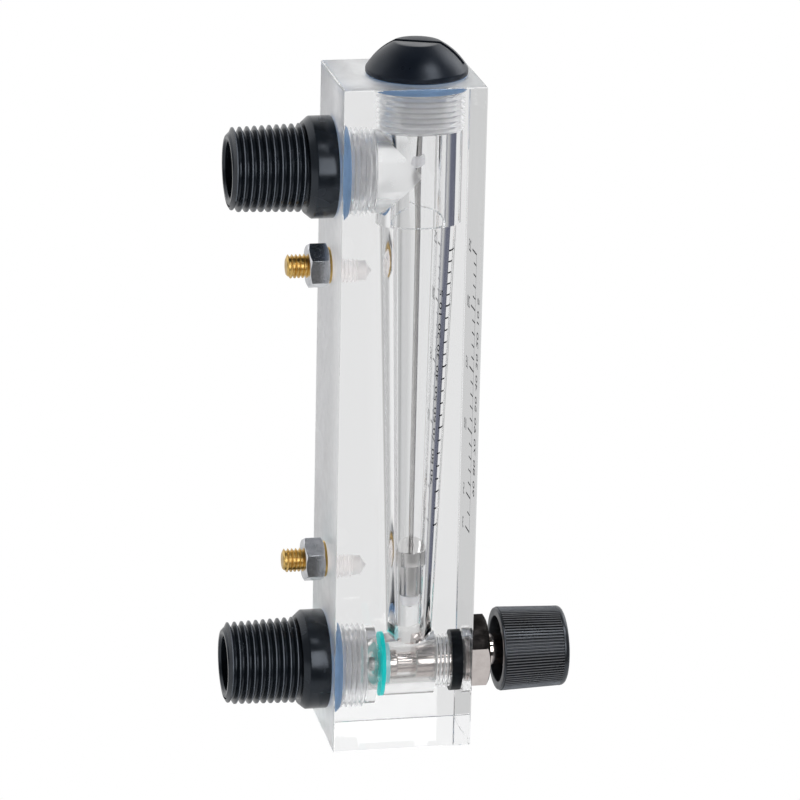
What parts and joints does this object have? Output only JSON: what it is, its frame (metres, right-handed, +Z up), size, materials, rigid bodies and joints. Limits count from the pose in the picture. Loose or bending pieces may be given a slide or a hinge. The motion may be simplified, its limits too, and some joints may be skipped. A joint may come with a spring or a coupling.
{
  "type": "rotameter",
  "caption": "Clear block flow meter with a float on a guide rod in a tapered bore, threaded pipe fittings at the back and a valve with a ribbed knob at the front.",
  "frame": {"origin": "middle of the block's base, the face it stands on", "axes": "+Z up along the block, +Y towards the pipe fittings and panel studs, -Y towards the scale and the knob, X across the width"},
  "size_m": [0.0316, 0.0871, 0.1779],
  "materials": {
    "clear_acrylic": "clear, polished",
    "black_nylon": "moulded, half gloss",
    "knob_plastic": "moulded, half gloss",
    "blue_rubber": "smooth rubber",
    "teal_rubber": "smooth rubber",
    "black_rubber": "smooth rubber",
    "soft_clear": "soft, milky clear",
    "pale_plastic": "milky",
    "stainless": "turned",
    "nickel_plate": "nickel plated brass",
    "zinc_plate": "zinc plated steel",
    "brass": "turned"
  },
  "bodies": {
    "meter": {"meter_block": "clear_acrylic", "top_cap": "black_nylon", "cap_seal_ring": "blue_rubber", "guide_rod": "stainless", "upper_float_stop": "soft_clear", "lower_float_stop": "soft_clear", "outlet_fitting": "black_nylon", "outlet_seal_ring": "blue_rubber", "inlet_fitting": "black_nylon", "inlet_seal_ring": "blue_rubber", "upper_stud": "brass", "upper_washer": "brass", "upper_nut": "zinc_plate", "lower_stud": "brass", "lower_washer": "brass", "lower_nut": "zinc_plate", "valve_gland": "nickel_plate", "gland_seal": "black_rubber"},
    "float": {"float": "stainless"},
    "valve_head": {"valve_head": "pale_plastic", "valve_seal": "teal_rubber"},
    "spindle": {"valve_spindle": "nickel_plate", "spindle_seal_ring": "black_rubber", "seal_screw": "stainless", "knob": "knob_plastic", "knob_insert": "brass", "knob_screw": "stainless"}
  },
  "joints": [
    {"name": "float_slide", "type": "slide", "parent": "meter", "child": "float", "axis": [0, 0, 1], "range_m": [0, 0.0975]},
    {"name": "valve_lift", "type": "slide", "parent": "meter", "child": "valve_head", "axis": [0, -1, 0], "range_m": [0, 0.0045]},
    {"name": "knob_turn", "type": "hinge", "parent": "valve_head", "child": "spindle", "pos_m": [0, -0.03, 0.0193], "axis": [0, -1, 0], "range_deg": [0, 1620]}
  ],
  "couplings": [
    {"joint": "knob_turn", "follows": "valve_lift", "rad_per_m": 6283.2}
  ]
}
